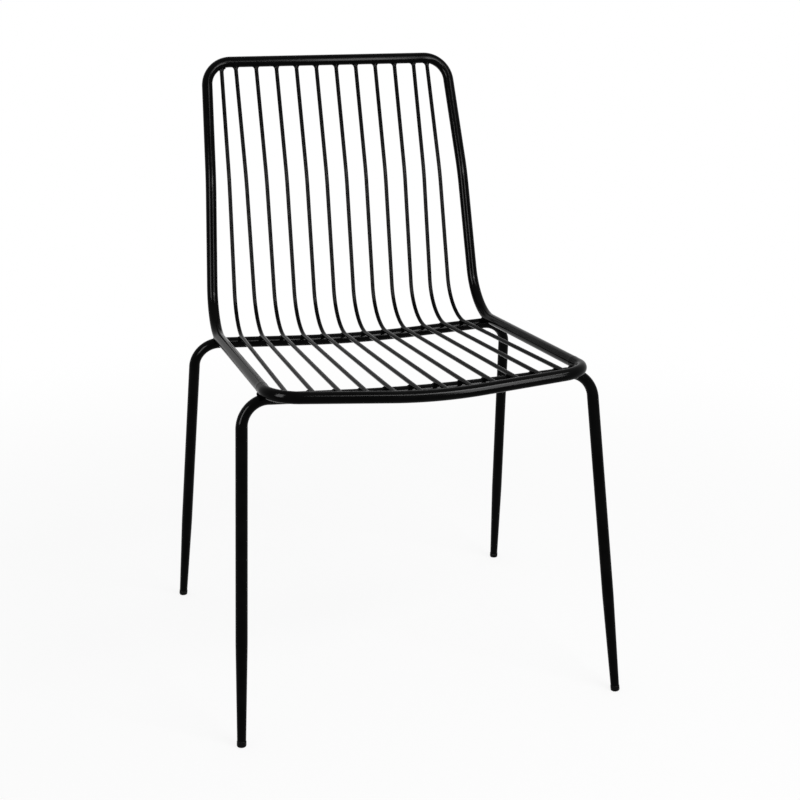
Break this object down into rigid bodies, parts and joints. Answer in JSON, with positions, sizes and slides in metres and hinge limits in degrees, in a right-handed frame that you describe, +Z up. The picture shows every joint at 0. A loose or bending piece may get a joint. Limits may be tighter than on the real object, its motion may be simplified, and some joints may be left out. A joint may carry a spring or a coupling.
{
  "type": "steel rod dining chair",
  "caption": "Armless dining chair of bent steel tube with parallel rods as seat and back, on splayed tapered legs.",
  "frame": {"origin": "on the floor under the middle of the chair's overall box", "axes": "+Z up, +X to the right seen from the front, -Y towards the front of the seat, +Y towards the back"},
  "size_m": [0.5486, 0.5702, 0.8441],
  "materials": {
    "powder_coated_tube": "satin black powder coat",
    "powder_coated_rod": "satin black powder coat",
    "weld": "satin black powder coat over weld beads",
    "foot_plastic": "matte black moulded plastic"
  },
  "bodies": {
    "root": {"back_hoop_tube": "powder_coated_tube", "front_rail_tube": "powder_coated_tube", "front_leg_frame": "powder_coated_tube", "rear_leg_frame": "powder_coated_tube", "seat_and_back_rod_01": "powder_coated_rod", "seat_and_back_rod_02": "powder_coated_rod", "seat_and_back_rod_03": "powder_coated_rod", "seat_and_back_rod_04": "powder_coated_rod", "seat_and_back_rod_05": "powder_coated_rod", "seat_and_back_rod_06": "powder_coated_rod", "seat_and_back_rod_07": "powder_coated_rod", "seat_and_back_rod_08": "powder_coated_rod", "seat_and_back_rod_09": "powder_coated_rod", "seat_and_back_rod_10": "powder_coated_rod", "seat_and_back_rod_11": "powder_coated_rod", "seat_and_back_rod_12": "powder_coated_rod", "top_rail_welds": "weld", "front_rail_welds": "weld", "front_crossbar_welds": "weld", "rear_crossbar_welds": "weld", "hoop_to_frame_welds": "weld", "foot_plug_front_left": "foot_plastic", "foot_plug_front_right": "foot_plastic", "foot_plug_rear_left": "foot_plastic", "foot_plug_rear_right": "foot_plastic"}
  },
  "joints": []
}
